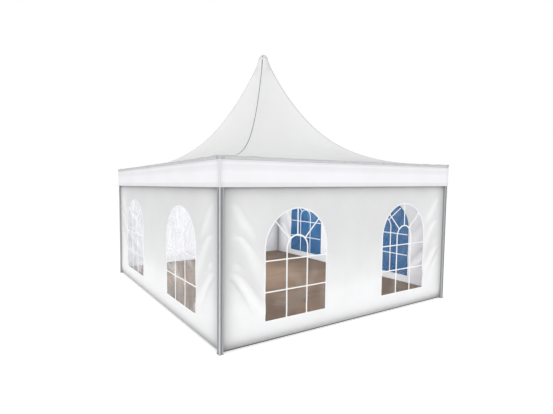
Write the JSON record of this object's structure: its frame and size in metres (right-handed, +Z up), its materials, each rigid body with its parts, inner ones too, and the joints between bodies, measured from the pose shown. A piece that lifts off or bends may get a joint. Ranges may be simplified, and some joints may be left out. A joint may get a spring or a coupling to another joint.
{
  "type": "pagoda marquee tent",
  "caption": "Square marquee tent with a concave peaked roof, fascia band, arched clear windows with bars, zipped back wall, aluminium frame and raised wooden floor.",
  "frame": {"origin": "on the ground under the mast, at the middle of the square", "axes": "+Z up; the front wall faces -Y, the zipped back wall faces +Y, the left wall faces -X and the right wall, with the blue windows, faces +X"},
  "size_m": [5.06, 5.06, 4.986],
  "materials": {
    "cloth": "white coated cloth, satin",
    "clear_film": "clear flexible window film, gloss",
    "blue_film": "blue tinted flexible window film, gloss",
    "aluminium": "grey anodised, satin",
    "steel": "galvanised",
    "plywood": "brown varnished plywood",
    "timber": "sawn softwood"
  },
  "bodies": {
    "root": {"front_left_foot": "steel", "front_right_foot": "steel", "back_right_foot": "steel", "back_left_foot": "steel", "front_left_leg": "aluminium", "front_right_leg": "aluminium", "back_right_leg": "aluminium", "back_left_leg": "aluminium", "front_eave_beam": "aluminium", "right_eave_beam": "aluminium", "back_eave_beam": "aluminium", "left_eave_beam": "aluminium", "front_left_corner_head": "aluminium", "front_right_corner_head": "aluminium", "back_right_corner_head": "aluminium", "back_left_corner_head": "aluminium", "mast": "aluminium", "mast_hub": "steel", "mast_cap": "aluminium", "front_left_stay": "steel", "front_right_stay": "steel", "back_right_stay": "steel", "back_left_stay": "steel", "front_roof_panel": "cloth", "right_roof_panel": "cloth", "back_roof_panel": "cloth", "left_roof_panel": "cloth", "front_fascia": "cloth", "right_fascia": "cloth", "back_fascia": "cloth", "left_fascia": "cloth", "front_wall": "cloth", "right_wall": "cloth", "left_wall": "cloth", "back_wall_left": "cloth", "back_wall_right": "cloth", "front_wall_left_window": "clear_film", "front_wall_right_window": "clear_film", "left_wall_back_window": "clear_film", "left_wall_front_window": "clear_film", "right_wall_front_window": "blue_film", "right_wall_back_window": "blue_film", "front_ground_rail": "aluminium", "right_ground_rail": "aluminium", "back_ground_rail": "aluminium", "left_ground_rail": "aluminium", "floor_frame": "timber", "front_deck": "plywood", "back_deck": "plywood"}
  },
  "joints": []
}
